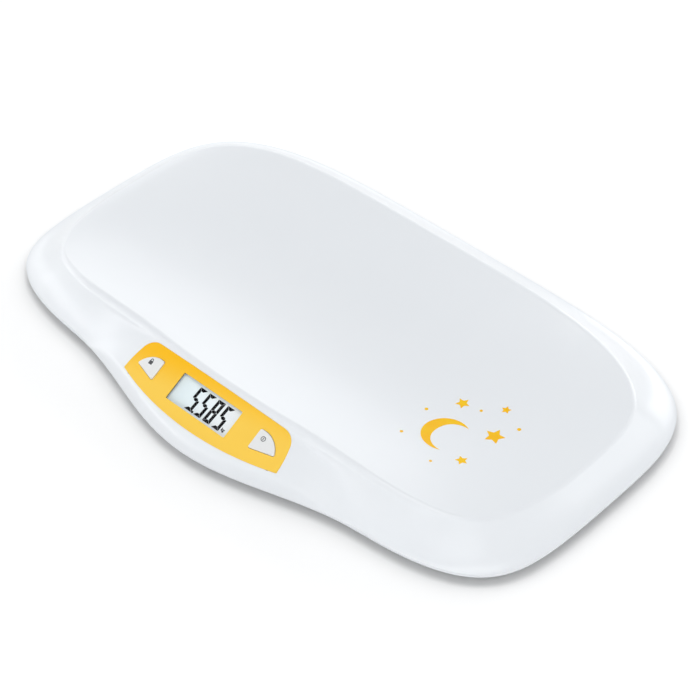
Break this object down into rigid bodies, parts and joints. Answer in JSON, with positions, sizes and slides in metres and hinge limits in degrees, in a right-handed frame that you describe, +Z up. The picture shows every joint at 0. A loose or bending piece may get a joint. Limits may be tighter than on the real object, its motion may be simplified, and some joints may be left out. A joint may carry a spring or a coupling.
{
  "type": "baby weighing scale",
  "caption": "Flat electronic weighing scale with a one-piece curved white tray, a tilted yellow display panel with two keys in a front bulge, and load-sensing feet below.",
  "frame": {"origin": "centre of the footprint, on the surface that the feet stand on", "axes": "+X along the tray to the right as the display is read, +Y away from the reader, +Z up"},
  "size_m": [0.55, 0.335, 0.0471],
  "materials": {
    "housing_white": "smooth white gloss",
    "base_white": "fine matt texture",
    "panel_yellow": "printed amber, glossy",
    "window_clear": "clear",
    "lcd": "smooth",
    "frame_dark": "matt",
    "strip_rubber": "soft",
    "board_green": "solder mask",
    "key_white": "smooth",
    "plunger_white": "matt",
    "screw_steel": "zinc plated",
    "cell_jacket": "printed jacket",
    "contact_nickel": "nickel plated",
    "foot_rubber": "soft matt",
    "foot_white": "matt",
    "cell_steel": "rolled",
    "clamp_steel": "zinc plated",
    "gauge_resin": "potted resin",
    "lead_jacket": "soft vinyl"
  },
  "bodies": {
    "housing": {"top_shell": "housing_white", "base_shell": "base_white", "panel_overlay": "panel_yellow", "display_window": "window_clear", "lcd_glass": "lcd", "lcd_frame": "frame_dark", "hold_switch": "frame_dark", "tare_switch": "frame_dark", "controller_chip": "frame_dark", "contact_strip": "strip_rubber", "circuit_board": "board_green", "board_screws": "screw_steel", "clamp_screws": "screw_steel", "case_screws": "screw_steel", "battery_1": "cell_jacket", "battery_2": "cell_jacket", "battery_3": "cell_jacket", "battery_contacts": "contact_nickel", "foot_pad_front_left": "foot_rubber", "foot_pad_front_right": "foot_rubber", "foot_pad_back_left": "foot_rubber", "foot_pad_back_right": "foot_rubber", "foot_cup_front_left": "foot_white", "foot_cup_front_right": "foot_white", "foot_cup_back_left": "foot_white", "foot_cup_back_right": "foot_white", "load_cell_front_left": "cell_steel", "load_cell_front_right": "cell_steel", "load_cell_back_left": "cell_steel", "load_cell_back_right": "cell_steel", "cell_clamp_front_left": "clamp_steel", "cell_clamp_front_right": "clamp_steel", "cell_clamp_back_left": "clamp_steel", "cell_clamp_back_right": "clamp_steel", "strain_gauge_front_left": "gauge_resin", "strain_gauge_front_right": "gauge_resin", "strain_gauge_back_left": "gauge_resin", "strain_gauge_back_right": "gauge_resin", "cell_leads": "lead_jacket", "battery_leads": "lead_jacket"},
    "hold_key": {"hold_button": "key_white", "hold_plunger": "plunger_white"},
    "tare_key": {"tare_button": "key_white", "tare_plunger": "plunger_white"},
    "door": {"battery_door": "base_white"}
  },
  "joints": [
    {"name": "hold_press", "type": "slide", "parent": "housing", "child": "hold_key", "axis": [0, 0.4848, -0.8746], "range_m": [0, 0.0004], "stiffness_N_per_m": 4000},
    {"name": "tare_press", "type": "slide", "parent": "housing", "child": "tare_key", "axis": [0, 0.4848, -0.8746], "range_m": [0, 0.0004], "stiffness_N_per_m": 4000},
    {"name": "door_hinge", "type": "hinge", "parent": "housing", "child": "door", "pos_m": [0, -0.01565, 0.004], "axis": [1, 0, 0], "range_deg": [0, 80]}
  ]
}
